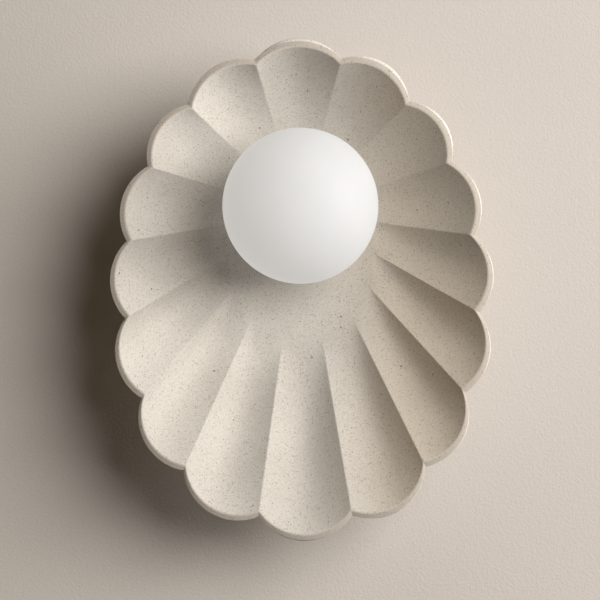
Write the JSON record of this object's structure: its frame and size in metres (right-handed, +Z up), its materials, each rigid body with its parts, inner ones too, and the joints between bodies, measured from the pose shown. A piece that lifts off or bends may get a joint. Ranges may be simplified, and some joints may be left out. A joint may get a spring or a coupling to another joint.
{
  "type": "wall light",
  "caption": "Scalloped stoneware shell on a round wall canopy, with an opal glass globe that screws onto a threaded fitter over a plug-in bulb.",
  "frame": {"origin": "on the wall, where the lamp axis meets the back of the bracket", "axes": "+X to the right seen from the room, +Z up, the light stands out from the wall towards -Y"},
  "size_m": [0.2484, 0.1477, 0.3246],
  "materials": {
    "stoneware": "matt, speckled",
    "opal_glass": "satin",
    "coated_steel": "matt powder coat",
    "zinc_steel": "bright zinc",
    "brass": "satin",
    "black_rubber": "matt",
    "clear_silicone": "matt",
    "felt": "felt",
    "white_ceramic": "glazed",
    "nylon": "matt",
    "bulb_plastic": "satin",
    "frosted_cover": "frosted",
    "board": "matt",
    "brown_wire": "satin",
    "blue_wire": "satin",
    "earth_wire": "satin"
  },
  "bodies": {
    "fixed": {"wall_bracket": "zinc_steel", "cable_grommet": "black_rubber", "canopy": "coated_steel", "canopy_screws": "zinc_steel", "canopy_pad": "felt", "shell": "stoneware", "hub_washer": "clear_silicone", "fitter": "zinc_steel", "nipple": "brass", "nipple_nuts": "zinc_steel", "lock_washers": "zinc_steel", "nipple_bushes": "nylon", "holder_strap": "zinc_steel", "lampholder": "white_ceramic", "holder_contacts": "brass", "holder_screws": "zinc_steel", "terminal_block": "nylon", "terminal_tubes": "brass", "terminal_screws": "zinc_steel", "terminal_fixing_screw": "zinc_steel", "earth_stud": "brass", "earth_nut": "brass", "earth_stud_tag": "zinc_steel", "earth_hub_tag": "zinc_steel", "live_wire": "brown_wire", "neutral_wire": "blue_wire", "earth_wire": "earth_wire"},
    "globe_carrier": {"globe_seal": "clear_silicone"},
    "globe": {"globe": "opal_glass"},
    "bulb": {"bulb_base": "bulb_plastic", "bulb_pins": "zinc_steel", "bulb_cover": "frosted_cover", "led_core": "board"}
  },
  "joints": [
    {"name": "globe_travel", "type": "slide", "parent": "fixed", "child": "globe_carrier", "axis": [0, -1, 0], "range_m": [0, 0.006]},
    {"name": "globe_turn", "type": "hinge", "parent": "globe_carrier", "child": "globe", "pos_m": [0, -0.05, 0], "axis": [0, -1, 0], "range_deg": [0, 540]},
    {"name": "bulb_pull", "type": "slide", "parent": "fixed", "child": "bulb", "axis": [0, -1, 0], "range_m": [0, 0.006]}
  ],
  "couplings": [
    {"joint": "globe_travel", "follows": "globe_turn", "m_per_rad": 0.00063662}
  ]
}
